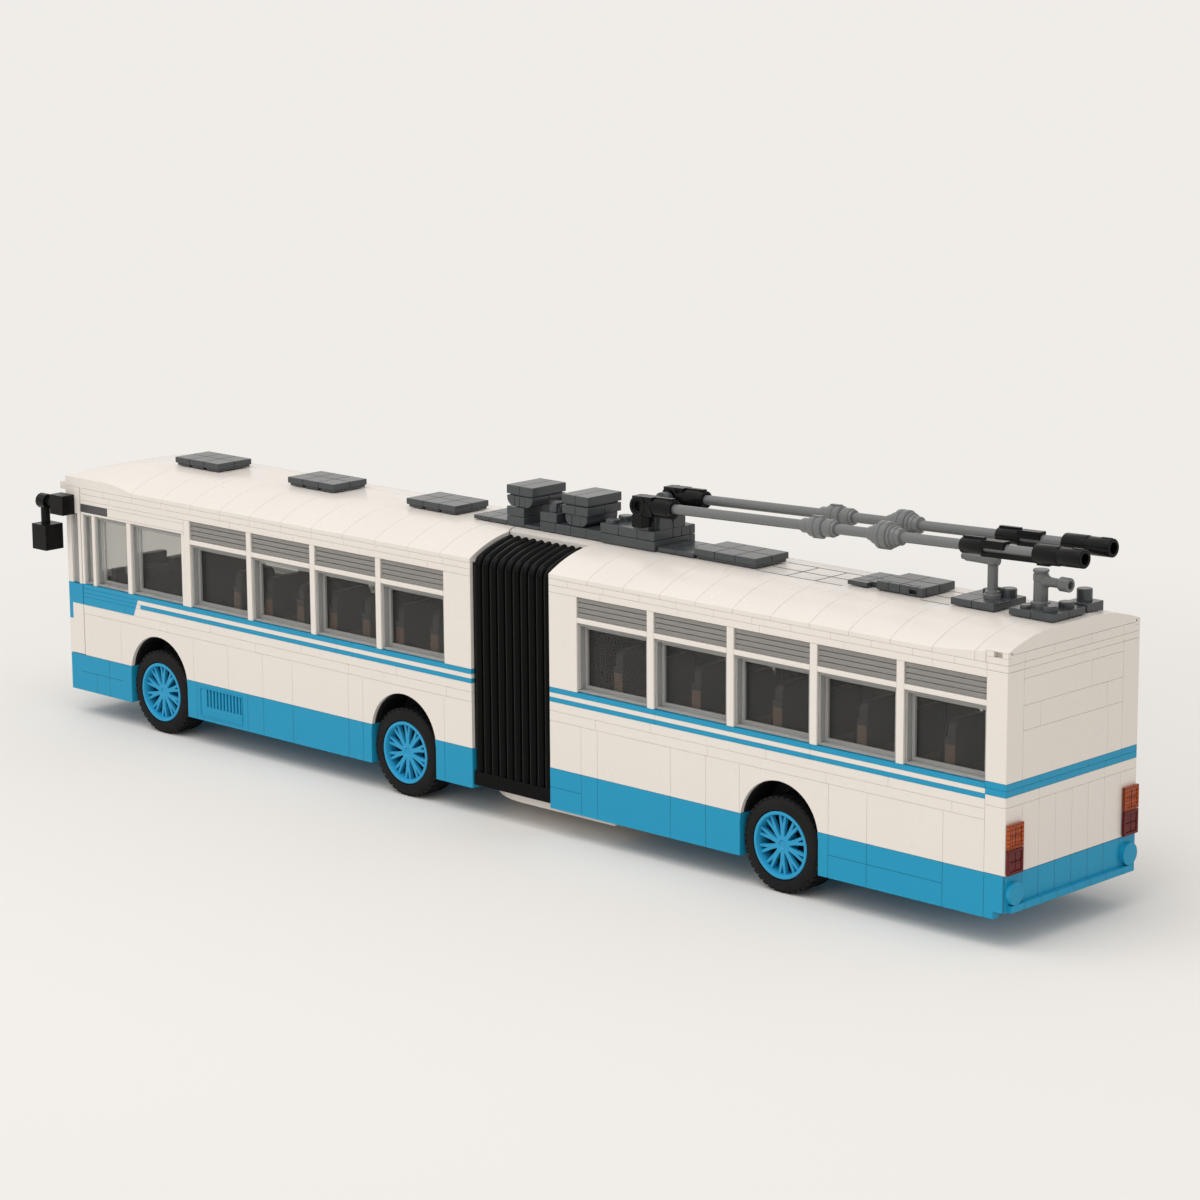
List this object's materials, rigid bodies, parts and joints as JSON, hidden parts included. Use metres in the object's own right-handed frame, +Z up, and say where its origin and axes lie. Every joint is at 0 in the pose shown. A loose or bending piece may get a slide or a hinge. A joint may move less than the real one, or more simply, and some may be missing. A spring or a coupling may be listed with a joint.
{
  "type": "articulated toy brick trolleybus",
  "caption": "Brick-built toy of an articulated trolleybus: two hollow cars joined by a pivot and bellows, rolling wheelsets, raising roof poles and hinged doors.",
  "frame": {"origin": "centre of the bounding box at floor level, on the centre line between the pole tips and the mirror tips", "axes": "+X forward along the bus, +Y to its left side, +Z up from the floor the tyres stand on"},
  "size_m": [0.4551, 0.078, 0.1169],
  "materials": {
    "white": "glossy warm white moulded bricks",
    "blue": "glossy blue moulded bricks",
    "rim_blue": "blue moulded rims, the axle fused with them",
    "black": "satin black plastic",
    "grey": "dark bluish grey plastic",
    "light_grey": "light bluish grey plastic",
    "tyre": "soft black toy tyre",
    "clear": "clear moulded plastic panes",
    "lamp": "red lower half, amber upper half"
  },
  "bodies": {
    "front_car": {"chassis_front": "blue", "wall_front_left": "white", "wall_front_right": "white", "nose": "white", "roof_front": "white", "glazing_front_left": "clear", "glazing_front_right": "clear", "windscreen": "clear", "saloon_front": "grey", "headlamp_left": "white", "headlamp_right": "white", "mirror_left": "black", "mirror_right": "black", "hatch_front": "grey", "hatch_middle": "grey", "hatch_back": "grey"},
    "rear_car": {"chassis_rear": "blue", "wall_rear_left": "white", "wall_rear_right": "white", "tail_wall": "white", "roof_rear": "white", "glazing_rear_left": "clear", "glazing_rear_right": "clear", "saloon_rear": "grey", "coupling": "white", "bellows": "black", "tail_lamp_left": "lamp", "tail_lamp_right": "lamp", "roof_deck": "grey", "pole_base": "grey", "hatch_pole_side": "grey", "hatch_tail_side": "grey", "rest_front": "light_grey", "rest_rear": "light_grey"},
    "wheels_front": {"rims_front": "rim_blue", "tyre_front_left": "tyre", "tyre_front_right": "tyre"},
    "wheels_middle": {"rims_middle": "rim_blue", "tyre_middle_left": "tyre", "tyre_middle_right": "tyre"},
    "wheels_rear": {"rims_rear": "rim_blue", "tyre_rear_left": "tyre", "tyre_rear_right": "tyre"},
    "pole_left": {"pole_hub_left": "black", "pole_bar_left": "light_grey", "pole_head_left": "black"},
    "pole_right": {"pole_hub_right": "black", "pole_bar_right": "light_grey", "pole_head_right": "black"},
    "door_middle_front_leaf": {"door_middle_front_leaf": "white"},
    "door_middle_rear_leaf": {"door_middle_rear_leaf": "white"},
    "door_rear_front_leaf": {"door_rear_front_leaf": "white"},
    "door_rear_rear_leaf": {"door_rear_rear_leaf": "white"},
    "cab_door": {"door_cab": "white"}
  },
  "joints": [
    {"name": "articulation", "type": "hinge", "parent": "front_car", "child": "rear_car", "pos_m": [-0.0159, 0, 0.0119], "axis": [0, 0, 1], "range_deg": [-30, 30], "deforming": ["bellows"]},
    {"name": "wheels_front_spin", "type": "hinge", "parent": "front_car", "child": "wheels_front", "pos_m": [0.1636, 0, 0.0152], "axis": [0, 1, 0], "continuous": true},
    {"name": "wheels_middle_spin", "type": "hinge", "parent": "front_car", "child": "wheels_middle", "pos_m": [0.0353, 0, 0.0152], "axis": [0, 1, 0], "continuous": true},
    {"name": "wheels_rear_spin", "type": "hinge", "parent": "rear_car", "child": "wheels_rear", "pos_m": [-0.1316, 0, 0.0152], "axis": [0, 1, 0], "continuous": true},
    {"name": "pole_left_raise", "type": "hinge", "parent": "rear_car", "child": "pole_left", "pos_m": [-0.0539, 0.0093, 0.108], "axis": [0, 1, 0], "range_deg": [0, 60]},
    {"name": "pole_right_raise", "type": "hinge", "parent": "rear_car", "child": "pole_right", "pos_m": [-0.0504, -0.0093, 0.108], "axis": [0, 1, 0], "range_deg": [0, 60]},
    {"name": "cab_door_hinge", "type": "hinge", "parent": "front_car", "child": "cab_door", "pos_m": [0.2045, -0.032, 0.046], "axis": [0, 0, 1], "range_deg": [0, 80]},
    {"name": "middle_door_front_hinge", "type": "hinge", "parent": "front_car", "child": "door_middle_front_leaf", "pos_m": [0.1113, -0.032, 0.046], "axis": [0, 0, 1], "range_deg": [0, 80]},
    {"name": "middle_door_rear_hinge", "type": "hinge", "parent": "front_car", "child": "door_middle_rear_leaf", "pos_m": [0.0808, -0.032, 0.046], "axis": [0, 0, -1], "range_deg": [0, 80]},
    {"name": "rear_door_front_hinge", "type": "hinge", "parent": "rear_car", "child": "door_rear_front_leaf", "pos_m": [-0.0797, -0.032, 0.046], "axis": [0, 0, 1], "range_deg": [0, 80]},
    {"name": "rear_door_rear_hinge", "type": "hinge", "parent": "rear_car", "child": "door_rear_rear_leaf", "pos_m": [-0.1108, -0.032, 0.046], "axis": [0, 0, -1], "range_deg": [0, 80]}
  ]
}
